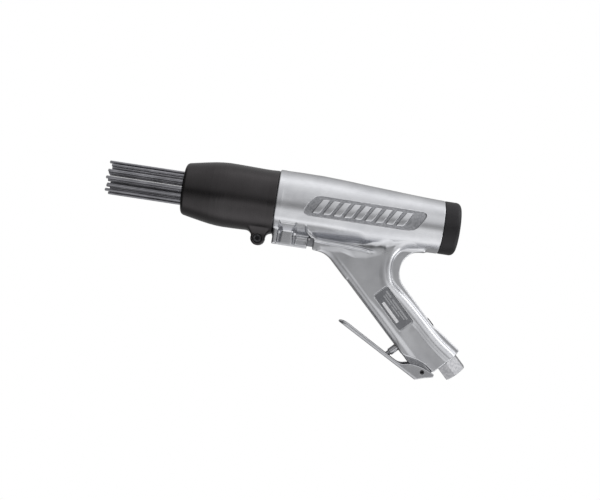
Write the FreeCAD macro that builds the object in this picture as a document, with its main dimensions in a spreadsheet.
import FreeCAD, Part
import math
import os
import Sketcher
from FreeCAD import Vector, Placement, Rotation

# Pneumatic needle scaler with a pistol grip, in millimetres.
#
# The origin is the centre of the air-inlet mouth, at the foot of the grip.
# The barrel lies along X with the needles towards -X, +Z is up, and -Y is the
# left side of the tool.  The grip slopes down and back at 45 degrees.
#
# Pieces are drawn in one of two frames:
#   barrel frame (x, y, z): origin on the barrel axis at the seam between
#                 sleeve and housing, x to the rear, z up.
#   grip frame (u, y, v):   origin where the throttle-valve axis crosses the
#                 inlet axis, u down the grip to the inlet, v to the rear.

doc = FreeCAD.newDocument("needle_scaler")
sheet = doc.addObject("Spreadsheet::Sheet", "Sizes")

# Suffixes: _r radius, _len length, _w width, _x _z _u _v a place in its frame.
SIZES = [
    # overall layout
    ("seam_to_inlet_x", 202.4), ("seam_to_inlet_z", 141.9),
    ("valve_axis_x", 162.7), ("valve_axis_z", -102.2), ("grip_angle", 45.0),
    # housing
    ("barrel_len", 166.2), ("barrel_front_r", 33.2), ("barrel_mid_r", 33.1),
    ("barrel_mid_x", 42.0), ("barrel_waist_r", 30.4), ("barrel_waist_x", 90.0),
    ("barrel_rear_r", 26.6), ("spigot_r", 27.0), ("spigot_bore_depth", 12.0),
    ("main_bore_r", 24.0), ("rib_bottom_z", -41.0),
    ("grip_half_w", 16.5), ("tongue_half_w", 9.8),
    # front sleeve
    ("sleeve_len", 93.5), ("sleeve_front_r", 26.0), ("sleeve_max_r", 32.2),
    ("sleeve_rear_r", 31.8), ("sleeve_bore_r", 27.0), ("sleeve_front_bore_r", 22.6),
    ("sleeve_step_x", -46.0), ("lug_x", -13.2), ("lug_z", -38.1), ("lug_r", 7.0),
    ("lug_half_w", 13.0), ("slit_w", 2.4), ("clamp_hole_r", 2.6),
    ("nose_hole_r", 18.2), ("nose_len", 7.0),
    # needles, their holder and their spring
    ("needle_r", 1.5), ("needle_head_r", 2.3), ("needle_head_len", 3.0),
    ("needle_hole_r", 1.6), ("needle_len", 177.8),
    ("ring_outer_r", 15.7), ("ring_middle_r", 10.2), ("ring_inner_r", 5.0),
    ("ring_outer_n", 14), ("ring_middle_n", 9), ("ring_inner_n", 5),
    ("holder_r", 21.9), ("holder_front_x", -15.0), ("holder_rear_x", 5.0),
    ("spring_r", 20.6), ("spring_wire_r", 1.35), ("spring_coils", 9.0),
    # hammer mechanism
    ("holder_bore_r", 22.0), ("anvil_shank_r", 10.0), ("anvil_flange_r", 21.4),
    ("anvil_front_x", 12.6), ("anvil_flange_len", 5.9), ("anvil_rear_x", 44.0),
    ("piston_r", 13.97), ("piston_bore_r", 14.02), ("piston_front_x", 56.0),
    ("piston_len", 42.0), ("cyl_rear_x", 118.0), ("cyl_wall_r", 23.95),
    ("valve_block_r", 23.9), ("valve_rear_x", 138.0),
    ("cap_end_x", 182.8), ("cap_r", 26.5), ("cap_spigot_r", 23.9), ("cap_spigot_x", 150.0),
    # throttle
    ("lever_pin_u", 33.9), ("lever_pin_v", -26.7), ("lever_pin_r", 2.0),
    ("lever_half_w", 12.0), ("lever_gauge", 2.0), ("lever_hole_r", 2.06),
    ("plunger_r", 3.6), ("plunger_bore_r", 3.66), ("bush_r", 6.0),
    ("valve_stem_r", 2.0), ("throttle_disc_r", 4.6), ("throttle_bore_r", 5.5),
    ("plug_r", 5.5),
    # air inlet and label
    ("hex_af", 21.0), ("hex_start", 40.5), ("hex_end", 56.144),
    ("inlet_thread_r", 5.7), ("inlet_thread_len", 14.0), ("inlet_male_r", 8.3),
    ("label_u", -55.0), ("label_v", -19.8), ("label_len", 42.0), ("label_w", 15.2),
    ("label_thk", 0.8), ("label_recess", 1.0),
]
for row, (alias, number) in enumerate(SIZES, start=1):
    sheet.set("A%d" % row, alias)
    sheet.set("B%d" % row, "%g" % number)
    sheet.setAlias("B%d" % row, alias)
doc.recompute()


# --- driven values ----------------------------------------------------------
class Dim:
    """A number together with the spreadsheet expression that drives it."""

    def __init__(self, number, text):
        self.number = float(number)
        self.text = text

    @staticmethod
    def of(value):
        if isinstance(value, Dim):
            return value
        text = "%.6g" % value
        return Dim(value, text if value >= 0 else "(%s)" % text)

    def __add__(self, other):
        other = Dim.of(other)
        return Dim(self.number + other.number, "(%s + %s)" % (self.text, other.text))

    def __sub__(self, other):
        other = Dim.of(other)
        return Dim(self.number - other.number, "(%s - %s)" % (self.text, other.text))

    def __rsub__(self, other):
        return Dim.of(other) - self

    def __mul__(self, other):
        other = Dim.of(other)
        return Dim(self.number * other.number, "(%s * %s)" % (self.text, other.text))

    def __neg__(self):
        return Dim(-self.number, "(-1 * %s)" % self.text)

    def bind(self, obj, path):
        """Tie a property to the spreadsheet, unless this is a plain number."""
        if "Sizes." in self.text:
            obj.setExpression(path, self.text)


def num(alias):
    """Spreadsheet value as a plain number."""
    return float(sheet.get(alias))


def dim(alias):
    """Spreadsheet value that stays linked to its cell."""
    return Dim(num(alias), "Sizes." + alias)


# --- frames and points ------------------------------------------------------
BARREL = Placement(Vector(-num("seam_to_inlet_x"), 0, num("seam_to_inlet_z")), Rotation())
GRIP = Placement(Vector(num("valve_axis_x") - num("seam_to_inlet_x"), 0,
                        num("valve_axis_z") + num("seam_to_inlet_z")),
                 Rotation(Vector(0, 1, 0), num("grip_angle")))
# Turns an XZ sketch of the barrel frame so that it is drawn in (u, v).
GRIP_SKETCH = Placement(Vector(num("valve_axis_x"), num("valve_axis_z"), 0),
                        Rotation(Vector(0, 0, 1), -num("grip_angle")))
Z_TO_X = Rotation(Vector(0, 1, 0), 90)
THROUGH = 60.0    # length of a symmetric cut that goes right through a piece


def grip_to_barrel(u, v):
    """Grip-frame (u, v) to barrel-frame (x, z)."""
    slope = math.radians(num("grip_angle"))
    return (num("valve_axis_x") + u * math.cos(slope) + v * math.sin(slope),
            num("valve_axis_z") - u * math.sin(slope) + v * math.cos(slope))


def from_grip(points):
    return [grip_to_barrel(u, v) for u, v in points]


def arc(centre_x, centre_y, radius, start, end, steps):
    """Points along an arc; start and end in degrees."""
    angles = [math.radians(start + (end - start) * k / steps) for k in range(steps + 1)]
    return [(centre_x + radius * math.cos(a), centre_y + radius * math.sin(a)) for a in angles]


def hexagon(corner_r, centre_x=0.0, centre_y=0.0, turn=0.0):
    return arc(centre_x, centre_y, corner_r, turn, turn + 300.0, 5)


def rectangle(x0, y0, x1, y1):
    return [(x0, y0), (x1, y0), (x1, y1), (x0, y1)]


# --- pieces, sketches and features ------------------------------------------
PIECES = []


def new_body(label, frame=BARREL):
    body = doc.addObject("PartDesign::Body", label)
    body.Label = label
    body.Placement = frame
    PIECES.append(body)
    return body


def new_solid(label, shape, place):
    piece = doc.addObject("Part::Feature", label)
    piece.Label = label
    piece.Shape = shape
    piece.Placement = place
    PIECES.append(piece)


def o_ring(label, ring_radius, section_radius, place):
    ring = doc.addObject("Part::Torus", label)
    ring.Label = label
    ring_radius.bind(ring, "Radius1")
    ring.Radius2 = section_radius
    ring.Placement = place
    PIECES.append(ring)


def coil_spring(label, coil_r, wire_r, length, turns, place):
    """Round-wire helix rising from the place's origin along its Z axis."""
    pitch = length / turns
    helix = Part.makeHelix(pitch, length, coil_r)
    section = Part.Wire([Part.makeCircle(wire_r, Vector(coil_r, 0, 0),
                                         Vector(0, coil_r, pitch / (2 * math.pi)))])
    new_solid(label, Part.Wire(helix).makePipeShell([section], True, True), place)


def new_sketch(body, plane, name, place=None):
    sketch = body.newObject("Sketcher::SketchObject", name + "_profile")
    base = next(f for f in body.Origin.OriginFeatures if f.Role == plane)
    sketch.AttachmentSupport = [(base, "")]
    sketch.MapMode = "FlatFace"
    if place is not None:
        sketch.AttachmentOffset = place
    return sketch


def locate(sketch, geometry, point, x, y):
    """Dimension a point of the geometry from the sketch origin."""
    for kind, value in (("DistanceX", x), ("DistanceY", y)):
        index = sketch.addConstraint(
            Sketcher.Constraint(kind, -1, 1, geometry, point, value.number))
        value.bind(sketch, "Constraints[%d]" % index)


def draw(sketch, loop):
    """Draw a closed loop: a list of corners, or a (x, y, radius) circle."""
    if isinstance(loop, tuple):
        x, y, radius = [Dim.of(value) for value in loop]
        centre = Vector(x.number, y.number, 0)
        geometry = sketch.addGeometry(
            Part.Circle(centre, Vector(0, 0, 1), radius.number), False)
        locate(sketch, geometry, 3, x, y)
        index = sketch.addConstraint(Sketcher.Constraint("Radius", geometry, radius.number))
        radius.bind(sketch, "Constraints[%d]" % index)
        return
    corners = [(Dim.of(x), Dim.of(y)) for x, y in loop]
    vectors = [Vector(x.number, y.number, 0) for x, y in corners]
    count = len(corners)
    first = sketch.GeometryCount
    for i in range(count):
        sketch.addGeometry(Part.LineSegment(vectors[i], vectors[(i + 1) % count]), False)
    for i in range(count):
        sketch.addConstraint(
            Sketcher.Constraint("Coincident", first + i, 2, first + (i + 1) % count, 1))
    for i, (x, y) in enumerate(corners):
        locate(sketch, first + i, 1, x, y)


def revolve(body, name, profile, plane="XY_Plane", axis="H_Axis", cut=False, place=None):
    """Full turn about a sketch axis; by default (x, radius) about the body's X."""
    sketch = new_sketch(body, plane, name, place)
    draw(sketch, profile)
    feature = body.newObject("PartDesign::Groove" if cut else "PartDesign::Revolution", name)
    feature.Profile = sketch
    feature.ReferenceAxis = (sketch, [axis])
    feature.Angle = 360
    doc.recompute()


def turn_z(body, name, profile):
    """A (radius, z) profile turned about the body's Z axis (v in the grip frame)."""
    revolve(body, name, profile, "XZ_Plane", "V_Axis")


def extrude(body, name, outline, length, plane="XZ_Plane", cut=False, offset=None,
            place=None, inner=None, reverse=False):
    """Pad or pocket.  It is symmetric about the plane unless an offset along the
    plane's normal or a sketch placement is given: then a pad goes along the
    normal and a pocket against it, or the other way if reversed.  The normal
    of XZ_Plane points to -Y.  The region inside the inner loop is left out."""
    sketch = new_sketch(body, plane, name, place)
    if offset is not None:
        offset = Dim.of(offset)
        sketch.AttachmentOffset = Placement(Vector(0, 0, offset.number), Rotation())
        offset.bind(sketch, "AttachmentOffset.Base.z")
    draw(sketch, outline)
    if inner is not None:
        draw(sketch, inner)
    feature = body.newObject("PartDesign::Pocket" if cut else "PartDesign::Pad", name)
    feature.Profile = sketch
    length = Dim.of(length)
    feature.Length = length.number
    length.bind(feature, "Length")
    if offset is None and place is None:
        feature.SideType = "Symmetric"
    feature.Reversed = reverse
    doc.recompute()
    return feature


# --- housing: rib and grip --------------------------------------------------
# One casting.  The side outline of rib and grip is padded and trimmed, then
# the barrel is turned onto it and the bores are cut.
housing = new_body("housing")
grip_half = dim("grip_half_w")
tongue_half = dim("tongue_half_w")
lever_pin = (dim("lever_pin_u"), dim("lever_pin_v"))
RIB_FILLET_R = 25.0
TONGUE_R = 8.3
HOLLOW_X, HOLLOW_Z, HOLLOW_R = 152.36, -48.3, 21.3

web = [(1.0, -12.0), (1.0, dim("rib_bottom_z"))]            # (x, z)
# fillet from the flat bottom of the rib into the front of the grip
web += arc(45.6, num("rib_bottom_z") - RIB_FILLET_R, RIB_FILLET_R, 90.0, 45.0, 5)
web += from_grip([(-3.0, -31.6), (22.0, -31.8)])
# tongue that carries the lever pin, then the foot and back of the grip
web += from_grip(arc(num("lever_pin_u"), num("lever_pin_v"), TONGUE_R, -130.0, 30.0, 8))
web += from_grip([(40.0, -18.2), (40.0, 15.0), (37.0, 15.7), (9.0, 10.9), (4.0, 9.5)])
# hollow between barrel and grip at the rear
web += arc(HOLLOW_X, HOLLOW_Z, HOLLOW_R, 225.0, 90.0, 12)
web += [(HOLLOW_X, -12.0)]
extrude(housing, "grip_web", web, grip_half * 2)

# Right half of the grip's cross-section, (y, v) from front to back: narrow
# tongue, rounded front corner, flat side, bevelled back and narrower spine.
half_section = [
    (tongue_half, -45.0), (tongue_half, -32.6), (12.6, -31.6), (14.6, -30.2), (16.0, -28.2),
    (grip_half, -25.5), (grip_half, 2.0), (14.6, 5.4), (11.6, 7.0), (11.6, 9.2),
    (10.2, 11.5), (10.2, 30.0),
]
section = [(-y, v) for y, v in half_section] + half_section[::-1]
# Everything around the section is cut away, starting above the barrel.
start_x, start_z = grip_to_barrel(-100.0, 0.0)
extrude(housing, "grip_section", rectangle(-40.0, -60.0, 40.0, 60.0), 160.0, "YZ_Plane",
        cut=True, inner=section, reverse=True,
        place=Placement(Vector(0, start_z, start_x),
                        Rotation(Vector(1, 0, 0), num("grip_angle"))))

# The cheeks stop short of the lever: both sides are cut back to the tongue.
cheek = from_grip([(6.0, -40.0), (10.0, -31.0), (21.0, -23.0), (31.0, -19.3), (41.5, -18.0),
                   (48.0, -18.0), (48.0, -40.0)])
CHEEK_DEPTH = 12.0
for name, cheek_offset in (("cheek_cut_right", -tongue_half),
                           ("cheek_cut_left", tongue_half + CHEEK_DEPTH)):
    extrude(housing, name, cheek, CHEEK_DEPTH, cut=True, offset=cheek_offset)

# --- housing: barrel --------------------------------------------------------
barrel_len = dim("barrel_len")
front_r = dim("barrel_front_r")
revolve(housing, "barrel", [
    (0.0, 0.0), (0.0, front_r - 1.2), (1.2, front_r), (5.5, front_r), (7.0, front_r - 0.6),
    (20.0, front_r), (dim("barrel_mid_x"), dim("barrel_mid_r")), (60.0, 32.3), (80.0, 31.0),
    (dim("barrel_waist_x"), dim("barrel_waist_r")), (120.0, 28.6), (150.0, 27.0),
    (barrel_len, dim("barrel_rear_r")), (barrel_len, 0.0),
])

# Shelf rib along each flank, (x, z): lower edge to the rear, upper edge back.
shelf = [
    (30.0, -18.0), (34.0, -24.0), (38.5, -28.5), (45.3, -31.6), (75.0, -31.6), (90.0, -33.2),
    (105.0, -35.1), (116.0, -36.5), (116.0, -33.0), (104.0, -30.4), (90.0, -28.6),
    (75.0, -27.2), (46.0, -27.2), (40.0, -24.5), (36.0, -19.0), (34.0, -14.0),
]
SHELF_HALF_W = 21.5
extrude(housing, "flank_shelf", shelf, 2 * SHELF_HALF_W)

# Counterbore for the cylinder's spigot, then the main bore to the rear.
spigot_bore_r = dim("spigot_r") + 0.05
spigot_depth = dim("spigot_bore_depth")
main_bore_r = dim("main_bore_r")
revolve(housing, "main_bore", [
    (-1.0, 0.0), (-1.0, spigot_bore_r), (spigot_depth, spigot_bore_r),
    (spigot_depth, main_bore_r), (barrel_len + 1.0, main_bore_r), (barrel_len + 1.0, 0.0),
], cut=True)

# Exhaust pocket across the rib, and its passage up to the main bore.
EXHAUST_X = 39.0
extrude(housing, "exhaust_pocket", rectangle(36.2, -41.5, 42.0, -30.0), 29.0, cut=True)
extrude(housing, "exhaust_passage", (EXHAUST_X, 0.0, 2.8), 14.0, "XY_Plane", cut=True,
        reverse=True, offset=-34.0)

# --- housing: grip bores ----------------------------------------------------
# Label recess on the left cheek, a little larger than the plate all round.
GAP_U, GAP_V = 1.0, 0.6
recess = rectangle(num("label_u") - GAP_U, num("label_v") - GAP_V,
                   num("label_u") + num("label_len") + GAP_U,
                   num("label_v") + num("label_w") + GAP_V)
extrude(housing, "label_recess_left", from_grip(recess), dim("label_recess"), cut=True,
        offset=grip_half)

# Throttle bore across the grip, (radius, v): bush, lower chamber, seat,
# chamber and plug, from front to back.
bush_r = dim("bush_r")
throttle_bore_r = dim("throttle_bore_r")
revolve(housing, "throttle_bore", [
    (0.0, -40.0), (bush_r, -40.0), (bush_r, -22.0), (4.5, -22.0), (4.5, -14.0), (3.2, -14.0),
    (3.2, -12.0), (throttle_bore_r, -12.0), (throttle_bore_r, 20.0), (0.0, 20.0),
], "XZ_Plane", "V_Axis", cut=True, place=GRIP_SKETCH)

# Inlet bore along the grip, (u, radius).
inlet_r = dim("inlet_male_r")
revolve(housing, "inlet_bore", [
    (0.0, 0.0), (0.0, 3.8), (25.0, 3.8), (25.0, inlet_r), (45.0, inlet_r), (45.0, 0.0),
], "XZ_Plane", cut=True, place=GRIP_SKETCH)

# Air passage from the throttle up the grip, with a coned upper end.
PASSAGE_R = 3.4
low_x, low_z = grip_to_barrel(0.0, -18.0)
top_x, top_z = grip_to_barrel(-74.0, 2.0)
passage_len = math.hypot(top_x - low_x, top_z - low_z)
passage_angle = math.degrees(math.atan2(top_z - low_z, top_x - low_x))
revolve(housing, "air_passage", [
    (0.0, 0.0), (0.0, PASSAGE_R), (passage_len, PASSAGE_R), (passage_len + 2.0, 0.0),
], "XZ_Plane", cut=True,
    place=Placement(Vector(low_x, low_z, 0), Rotation(Vector(0, 0, 1), passage_angle)))
extrude(housing, "air_riser", (114.5, 0.0, 3.6), 34.0, "XY_Plane", cut=True, reverse=True,
        offset=-53.0)

pin_x, pin_z = grip_to_barrel(num("lever_pin_u"), num("lever_pin_v"))
extrude(housing, "pin_hole", (pin_x, pin_z, dim("lever_pin_r")), THROUGH, cut=True)

# --- front sleeve -----------------------------------------------------------
sleeve = new_body("front_sleeve")
nose_x = -dim("sleeve_len")
shoulder_x = nose_x + dim("nose_len")     # rear face of the sleeve's nose lip
nose_hole_r = dim("nose_hole_r")
sleeve_front_r = dim("sleeve_front_r")
sleeve_rear_r = dim("sleeve_rear_r")
sleeve_bore_r = dim("sleeve_bore_r") + 0.05
front_bore_r = dim("sleeve_front_bore_r")
revolve(sleeve, "shell", [
    # outside, front to rear
    (nose_x, nose_hole_r + 2.0), (nose_x, sleeve_front_r - 3.6),
    (nose_x + 0.9, sleeve_front_r - 1.5), (nose_x + 3.2, sleeve_front_r), (-58.0, 31.9),
    (-50.0, dim("sleeve_max_r")), (-15.0, 31.4), (-3.0, sleeve_rear_r),
    (-0.6, sleeve_rear_r), (-0.05, 31.2),
    # inside, rear to front
    (-0.05, sleeve_bore_r), (-26.0, sleeve_bore_r), (-27.0, 26.0),
    (dim("sleeve_step_x"), 26.0), (-62.0, front_bore_r), (shoulder_x, front_bore_r),
    (shoulder_x, nose_hole_r + 2.0),
])

# Clamp lug under the rear of the sleeve, split down the middle.
lug_x, lug_z, lug_half = dim("lug_x"), dim("lug_z"), dim("lug_half_w")
lug = [(-24.5, -29.5)]
lug += arc(lug_x.number, lug_z.number, num("lug_r"), 195.0, 345.0, 10)
lug += [(-1.8, -29.5)]
extrude(sleeve, "clamp_lug", lug, lug_half * 2)
revolve(sleeve, "spigot_bore", [
    (-26.0, 0.0), (-26.0, sleeve_bore_r), (1.0, sleeve_bore_r), (1.0, 0.0),
], cut=True)
extrude(sleeve, "clamp_slit", rectangle(-30.0, -50.0, 2.0, -20.0), dim("slit_w"), cut=True)
extrude(sleeve, "clamp_hole", (lug_x, lug_z, dim("clamp_hole_r")), 40.0, cut=True)
# bolt head seat on the left, hexagonal nut seat on the right
NUT_SEAT_DEPTH = 5.0
extrude(sleeve, "head_seat", (lug_x, lug_z, 4.6), 6.0, cut=True, offset=lug_half)
extrude(sleeve, "nut_seat", hexagon(4.66, lug_x.number, lug_z.number), NUT_SEAT_DEPTH,
        cut=True, offset=NUT_SEAT_DEPTH - lug_half)

# --- nose bush: flanged ring inside the sleeve's nose -----------------------
nose = new_body("nose_bush")
NOSE_FLANGE_LEN = 2.0
flange_x = shoulder_x + NOSE_FLANGE_LEN
revolve(nose, "ring", [
    (nose_x + 0.3, nose_hole_r), (nose_x + 0.3, nose_hole_r + 1.95),
    (shoulder_x, nose_hole_r + 1.95), (shoulder_x, front_bore_r - 0.05),
    (flange_x, front_bore_r - 0.05), (flange_x, nose_hole_r),
])

# --- needle holder: drilled disc --------------------------------------------
holder = new_body("needle_holder")
holder_front, holder_rear = dim("holder_front_x"), dim("holder_rear_x")
holder_r = dim("holder_r")
revolve(holder, "disc", [
    (holder_front, 0.0), (holder_front, holder_r - 1.0), (holder_front + 1.0, holder_r),
    (holder_rear - 1.0, holder_r), (holder_rear, holder_r - 1.0), (holder_rear, 0.0),
])

# Each ring of needles: name, angle of its first needle from +Y towards +Z, and
# how much shorter than needle_len each needle has worn.
NEEDLE_RINGS = [
    ("outer", 182.0, [0.6, 2.2, 0.0, 3.4, 1.2, 2.8, 0.4, 1.9, 3.0, 0.9, 2.5, 0.2, 3.6, 1.5]),
    ("middle", 194.0, [1.7, 0.3, 2.9, 1.0, 3.8, 0.6, 2.1, 3.2, 1.4]),
    ("inner", 212.0, [0.8, 2.6, 0.1, 3.1, 1.6]),
]
for ring, first_angle, _ in NEEDLE_RINGS:
    angle = math.radians(first_angle)
    ring_r = dim("ring_%s_r" % ring)
    hole = extrude(holder, ring + "_hole",
                   (ring_r * math.cos(angle), ring_r * math.sin(angle), dim("needle_hole_r")),
                   80.0, "YZ_Plane", cut=True)
    pattern = holder.newObject("PartDesign::PolarPattern", ring + "_holes")
    pattern.Originals = [hole]
    pattern.Axis = (hole.Profile[0], ["N_Axis"])
    pattern.Angle = 360
    dim("ring_%s_n" % ring).bind(pattern, "Occurrences")
    holder.Tip = pattern
    doc.recompute()


# --- needles ----------------------------------------------------------------
def needle(y, z, length):
    """Wire with a chamfered tip and an upset head behind the holder."""
    radius, chamfer = num("needle_r"), 0.45
    seat_x = num("holder_rear_x")
    shaft_end = seat_x + 0.5              # runs into the head so the two fuse
    tip_x = seat_x + num("needle_head_len") - length
    head = Part.makeCylinder(num("needle_head_r"), num("needle_head_len"),
                             Vector(seat_x + 0.01, y, z), Vector(1, 0, 0))
    profile = [Vector(tip_x, 0, 0), Vector(tip_x, radius - chamfer, 0),
               Vector(tip_x + chamfer, radius, 0), Vector(shaft_end, radius, 0),
               Vector(shaft_end, 0, 0)]
    face = Part.Face(Part.makePolygon(profile + [profile[0]]))
    shaft = face.revolve(Vector(0, 0, 0), Vector(1, 0, 0), 360)
    shaft.translate(Vector(0, y, z))
    return shaft.fuse(head).removeSplitter().Solids[0]


for ring, first_angle, wear in NEEDLE_RINGS:
    radius, count = num("ring_%s_r" % ring), int(num("ring_%s_n" % ring))
    needles = []
    for k in range(count):
        angle = math.radians(first_angle + 360.0 * k / count)
        needles.append(needle(radius * math.cos(angle), radius * math.sin(angle),
                              num("needle_len") - wear[k % len(wear)]))
    new_solid("needles_%s_ring" % ring, Part.makeCompound(needles), BARREL)

# --- spring round the needles, between nose bush and holder -----------------
wire_r = num("spring_wire_r")
END_GAP = 0.1
spring_front = flange_x.number + wire_r + END_GAP
spring_rear = holder_front.number - wire_r - END_GAP
coil_spring("needle_spring", num("spring_r"), wire_r, spring_rear - spring_front,
            num("spring_coils"),
            BARREL.multiply(Placement(Vector(spring_front, 0, 0), Z_TO_X)))

# --- cylinder ---------------------------------------------------------------
cylinder = new_body("cylinder")
spigot_outer_r = dim("spigot_r") - 0.05
spigot_rear = spigot_depth - 0.2
cyl_rear = dim("cyl_rear_x")
cyl_wall_r = dim("cyl_wall_r")
holder_bore_r = dim("holder_bore_r")
piston_bore_r = dim("piston_bore_r")
shank_r = dim("anvil_shank_r")
revolve(cylinder, "body", [
    (-26.0, holder_bore_r), (-26.0, spigot_outer_r - 1.0), (-25.0, spigot_outer_r),
    (spigot_rear, spigot_outer_r), (spigot_rear, cyl_wall_r), (cyl_rear, cyl_wall_r),
    (cyl_rear, piston_bore_r), (36.0, piston_bore_r), (36.0, shank_r + 0.06),
    (20.0, shank_r + 0.06), (20.0, holder_bore_r),
])
extrude(cylinder, "exhaust_port", (EXHAUST_X, 0.0, 2.6), 20.0, "XY_Plane", cut=True,
        offset=-12.0)
extrude(cylinder, "feed_port", (0.0, -19.5, 1.6), 240.0, "YZ_Plane", cut=True)

# --- anvil: flange at the front, shank to the rear --------------------------
anvil = new_body("anvil")
anvil_front, anvil_rear = dim("anvil_front_x"), dim("anvil_rear_x")
anvil_flange_x = anvil_front + dim("anvil_flange_len")
anvil_r = dim("anvil_flange_r")
revolve(anvil, "stud", [
    (anvil_front, 0.0), (anvil_front, anvil_r - 1.0), (anvil_front + 1.0, anvil_r),
    (anvil_flange_x, anvil_r), (anvil_flange_x, shank_r), (anvil_rear - 1.0, shank_r),
    (anvil_rear, shank_r - 1.0), (anvil_rear, 0.0),
])

# --- piston: one groove round it and a blind hole in its rear ---------------
piston = new_body("piston")
piston_front = dim("piston_front_x")
piston_rear = piston_front + dim("piston_len")
piston_r = dim("piston_r")
PISTON_HOLE_R = 7.0
revolve(piston, "slug", [
    (piston_front, 0.0), (piston_front, piston_r - 1.5), (piston_front + 1.5, piston_r),
    (piston_front + 14.0, piston_r), (piston_front + 14.0, piston_r - 1.0),
    (piston_front + 17.0, piston_r - 1.0), (piston_front + 17.0, piston_r),
    (piston_rear - 1.0, piston_r), (piston_rear, piston_r - 1.0),
    (piston_rear, PISTON_HOLE_R), (piston_rear - 12.0, PISTON_HOLE_R),
    (piston_rear - 14.0, 0.0),
])

# --- valve seat, plate and cover behind the cylinder ------------------------
block_r = dim("valve_block_r")
valve_rear = dim("valve_rear_x")
POCKET_R = 17.0           # pocket in seat and cover, round the plate
PLATE_R = 16.8
SEAT_HOLE_R = 4.0
COVER_HOLE_R = 3.0

seat = new_body("valve_seat")
revolve(seat, "block", [
    (cyl_rear + 0.02, SEAT_HOLE_R), (cyl_rear + 0.02, block_r), (cyl_rear + 9.0, block_r),
    (cyl_rear + 9.0, POCKET_R), (cyl_rear + 7.0, POCKET_R), (cyl_rear + 7.0, SEAT_HOLE_R),
])
extrude(seat, "feed_slot", rectangle(-2.0, -22.0, 2.0, -30.0), 400.0, "YZ_Plane", cut=True)

plate = new_body("valve_plate")
revolve(plate, "disc", [
    (cyl_rear + 7.6, 0.0), (cyl_rear + 7.6, PLATE_R), (cyl_rear + 9.4, PLATE_R),
    (cyl_rear + 9.4, 0.0),
])

cover = new_body("valve_cover")
revolve(cover, "lid", [
    (cyl_rear + 9.02, POCKET_R), (cyl_rear + 9.02, block_r), (valve_rear, block_r),
    (valve_rear, COVER_HOLE_R), (cyl_rear + 10.0, COVER_HOLE_R), (cyl_rear + 10.0, POCKET_R),
])

# --- rear buffer, between valve cover and cap -------------------------------
rear_buffer = new_body("rear_buffer")
cap_front = dim("cap_spigot_x")
revolve(rear_buffer, "pad", [
    (valve_rear + 0.05, 0.0), (valve_rear + 0.05, 20.0), (valve_rear + 1.0, 21.5),
    (cap_front - 1.0, 21.5), (cap_front - 0.05, 20.0), (cap_front - 0.05, 0.0),
])

# --- rear cap and its O-ring ------------------------------------------------
cap = new_body("rear_cap")
cap_end, cap_r, cap_spigot_r = dim("cap_end_x"), dim("cap_r"), dim("cap_spigot_r")
RING_GROOVE_R = 21.9
revolve(cap, "turned", [
    # spigot with the ring groove
    (cap_front, 0.0), (cap_front, cap_spigot_r - 1.0), (cap_front + 1.0, cap_spigot_r),
    (barrel_len - 6.0, cap_spigot_r), (barrel_len - 6.0, RING_GROOVE_R),
    (barrel_len - 2.6, RING_GROOVE_R), (barrel_len - 2.6, cap_spigot_r),
    # flange and domed end
    (barrel_len + 0.2, cap_spigot_r), (barrel_len + 0.2, cap_r - 0.6),
    (barrel_len + 0.8, cap_r), (cap_end - 5.5, cap_r), (cap_end - 3.9, cap_r - 0.4),
    (cap_end - 2.0, cap_r - 1.6), (cap_end - 0.6, cap_r - 3.4), (cap_end, cap_r - 5.6),
    (cap_end, 9.0), (cap_end - 1.2, 8.4), (cap_end - 1.2, 0.0),
])
SOCKET_HALF = 6.35        # square key socket, 12.7 across
extrude(cap, "key_socket", rectangle(-SOCKET_HALF, -SOCKET_HALF, SOCKET_HALF, SOCKET_HALF),
        14.0, "YZ_Plane", cut=True, offset=cap_end)
o_ring("cap_o_ring", main_bore_r - 1.05, 1.0,
       BARREL.multiply(Placement(Vector(barrel_len.number - 4.3, 0, 0), Z_TO_X)))

# --- clamp bolt, washer and nut in the sleeve's lug -------------------------
# Their own Z axis is the bolt axis and runs to the left side, -Y.
CLAMP = BARREL.multiply(Placement(Vector(lug_x.number, 0, lug_z.number),
                                  Rotation(Vector(1, 0, 0), 90)))
BOLT_R = 2.45
HEAD_R = 4.3
head_under, head_top = lug_half - 5.0, lug_half - 0.3
bolt_end = -lug_half + 0.6
bolt = new_body("sleeve_clamp_bolt", CLAMP)
turn_z(bolt, "blank", [
    (0.0, bolt_end), (1.9, bolt_end), (BOLT_R, bolt_end + 0.6), (BOLT_R, head_under),
    (HEAD_R, head_under), (HEAD_R, head_top - 0.5), (3.9, head_top), (0.0, head_top),
])
extrude(bolt, "socket", hexagon(2.31), 3.0, "XY_Plane", cut=True, offset=head_top)

washer = new_body("sleeve_clamp_washer", CLAMP)
turn_z(washer, "ring", [
    (2.6, head_under - 0.98), (4.5, head_under - 0.98), (4.5, head_under - 0.02),
    (2.6, head_under - 0.02),
])

nut = new_body("sleeve_clamp_nut", CLAMP)
extrude(nut, "hex", hexagon(4.6), 4.0, "XY_Plane", offset=-lug_half + 0.9)
extrude(nut, "tapped_hole", (0.0, 0.0, BOLT_R + 0.01), THROUGH, "XY_Plane", cut=True)

# --- exhaust silencer block and its cross pin -------------------------------
MUFFLER_PIN_X, MUFFLER_PIN_Z = 37.9, -31.8
muffler = new_body("exhaust_muffler")
extrude(muffler, "block", rectangle(36.3, -38.6, 41.9, -30.1), 28.6)
extrude(muffler, "pin_hole", (MUFFLER_PIN_X, MUFFLER_PIN_Z, 1.0), THROUGH, cut=True)
muffler_pin = new_body("muffler_pin")
extrude(muffler_pin, "pin", (MUFFLER_PIN_X, MUFFLER_PIN_Z, 0.98), 28.8)

# --- throttle lever: channel open towards the grip --------------------------
lever = new_body("throttle_lever", GRIP)
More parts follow.
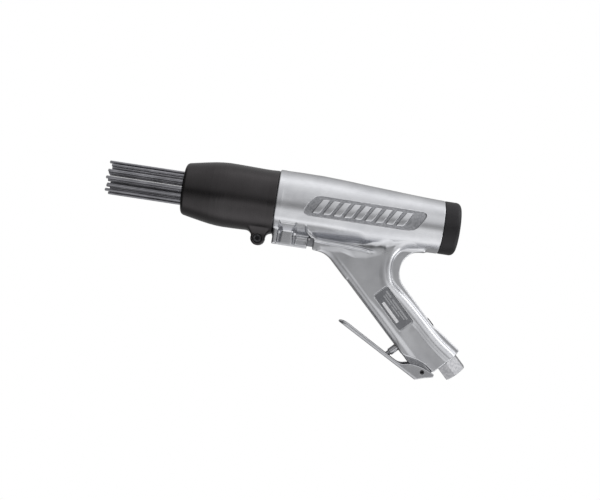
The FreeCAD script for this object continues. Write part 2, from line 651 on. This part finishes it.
# Side outline, (u, v): flange edge from the tip to beyond the pin, then the
# heel.  The closing line from heel back to tip is the outside of the web.
lever_outline = [
    (-55.2, -63.2), (-54.8, -60.6), (-51.0, -57.5), (-45.8, -55.7), (0.0, -43.3),
    (10.0, -40.4), (16.3, -36.8), (19.1, -32.5), (29.3, -24.3), (39.8, -19.8),
    (42.6, -18.6), (44.5, -21.0), (39.9, -27.7), (35.4, -37.3),
]
extrude(lever, "blank", lever_outline, dim("lever_half_w") * 2)

tip_u, tip_v = lever_outline[0]
heel_u, heel_v = lever_outline[-1]
web_slope = (heel_v - tip_v) / (heel_u - tip_u)
gauge = num("lever_gauge")
CHANNEL_U = 60.0          # the channel cut runs past both ends of the lever


def web_inside(u):
    """Point on the web line at u, moved in by the sheet thickness."""
    run = math.hypot(1, web_slope)
    v = tip_v + (u - tip_u) * web_slope
    return (u - gauge * web_slope / run, v + gauge / run)


extrude(lever, "channel",
        [web_inside(-CHANNEL_U), web_inside(CHANNEL_U), (CHANNEL_U, 0.0), (-CHANNEL_U, 0.0)],
        (dim("lever_half_w") - dim("lever_gauge")) * 2, cut=True)
extrude(lever, "pin_holes", (*lever_pin, dim("lever_hole_r")), THROUGH, cut=True)

# --- lever pin: hollow rod --------------------------------------------------
pin = new_body("lever_pin", GRIP)
extrude(pin, "rod", (*lever_pin, dim("lever_pin_r")), 24.6)
extrude(pin, "hollow", (*lever_pin, 1.0), THROUGH, cut=True)

# --- throttle valve train, front to back along v ----------------------------
plunger = new_body("throttle_plunger", GRIP)
plunger_r = dim("plunger_r")
stem_r = dim("valve_stem_r")
turn_z(plunger, "turned", [
    # domed nose and neck
    (0.0, -45.18), (0.83, -45.07), (1.6, -44.75), (2.26, -44.24), (2.6, -43.8), (2.6, -40.6),
    # body, then the stem
    (3.3, -40.6), (plunger_r, -40.2), (plunger_r, -24.0), (stem_r, -23.0),
    (stem_r, -12.05), (0.0, -12.05),
])

bush = new_body("plunger_bush", GRIP)
plunger_bore_r = dim("plunger_bore_r")
turn_z(bush, "turned", [
    (plunger_bore_r, -32.1), (bush_r - 0.8, -32.1), (bush_r - 0.02, -31.3),
    (bush_r - 0.02, -22.05), (plunger_bore_r, -22.05),
    # groove for the O-ring
    (plunger_bore_r, -24.0), (5.2, -24.0), (5.2, -26.0), (plunger_bore_r, -26.0),
])
o_ring("plunger_o_ring", plunger_bore_r + 0.76, 0.74,
       GRIP.multiply(Placement(Vector(0, 0, -25.0), Rotation())))

throttle_valve = new_body("throttle_valve", GRIP)
disc_r = dim("throttle_disc_r")
turn_z(throttle_valve, "turned", [
    (0.0, -11.98), (disc_r, -11.98), (disc_r, -9.6), (1.6, -9.6), (1.6, -7.4), (0.0, -7.4),
])

THROTTLE_SPRING_V = (-9.13, 3.53)         # wire centre at the front and back ends
spring_start, spring_end = THROTTLE_SPRING_V
coil_spring("throttle_spring", 2.9, 0.4, spring_end - spring_start, 4.0,
            GRIP.multiply(Placement(Vector(0, 0, spring_start), Rotation())))

plug = new_body("valve_plug", GRIP)
plug_r = dim("plug_r")
PLUG_END_V = 10.7
turn_z(plug, "turned", [
    (0.0, 4.0), (4.3, 4.0), (4.3, 6.0), (plug_r - 0.02, 6.0), (plug_r - 0.02, 10.0),
    (4.6, PLUG_END_V), (0.0, PLUG_END_V),
])
extrude(plug, "key_slot", hexagon(2.3), 3.0, "XY_Plane", cut=True, offset=PLUG_END_V)
o_ring("plug_o_ring", plug_r - 0.56, 0.54,
       GRIP.multiply(Placement(Vector(0, 0, 5.4), Rotation())))

# --- inlet bushing: spigot, hexagon and threaded-size bore ------------------
inlet = new_body("inlet_bushing", GRIP)
hex_start, hex_end = dim("hex_start"), dim("hex_end")
thread_r = dim("inlet_thread_r")
thread_end = hex_end - dim("inlet_thread_len")
HEX_BLANK_R = 13.2
revolve(inlet, "turned", [
    (27.0, 5.0), (27.0, inlet_r - 0.8), (27.8, inlet_r - 0.02), (hex_start, inlet_r - 0.02),
    (hex_start, HEX_BLANK_R), (hex_end, HEX_BLANK_R), (hex_end, thread_r),
    (thread_end, thread_r), (thread_end - 1.0, 5.0),
])
HEX_TURN = 11.0           # degrees
hex_corner_r = num("hex_af") / 2 / math.cos(math.radians(30))
extrude(inlet, "hex_flats", (0.0, 0.0, 20.0), 40.0, "YZ_Plane", cut=True, offset=hex_start,
        inner=hexagon(hex_corner_r, turn=HEX_TURN), reverse=True)

# --- inlet strainer, (u, radius) --------------------------------------------
strainer = new_body("inlet_strainer", GRIP)
revolve(strainer, "cup", [
    (25.2, 0.0), (25.2, 6.8), (26.8, 6.8), (26.8, 4.7), (34.0, 4.7), (34.0, 4.0),
    (26.2, 4.0), (26.2, 0.0),
])

# --- label plate in the recess on the left cheek ----------------------------
label_plate = new_body("label_plate", GRIP)
label_u, label_v = dim("label_u"), dim("label_v")
extrude(label_plate, "plate",
        rectangle(label_u, label_v, label_u + dim("label_len"), label_v + dim("label_w")),
        dim("label_thk"), offset=grip_half - dim("label_recess") + 0.02)

# --- check and export -------------------------------------------------------
doc.recompute()
failed = [o.Name for o in doc.Objects if "Invalid" in o.State or "Error" in o.State]
if failed:
    raise RuntimeError("failed objects: " + ", ".join(failed))
for piece in PIECES:
    shape = piece.Shape
    if shape.isNull() or not shape.isValid() or not shape.Solids:
        raise RuntimeError("bad shape: " + piece.Label)
os.makedirs("parts", exist_ok=True)
for piece in PIECES:
    piece.Shape.exportStep("parts/%s.step" % piece.Label)
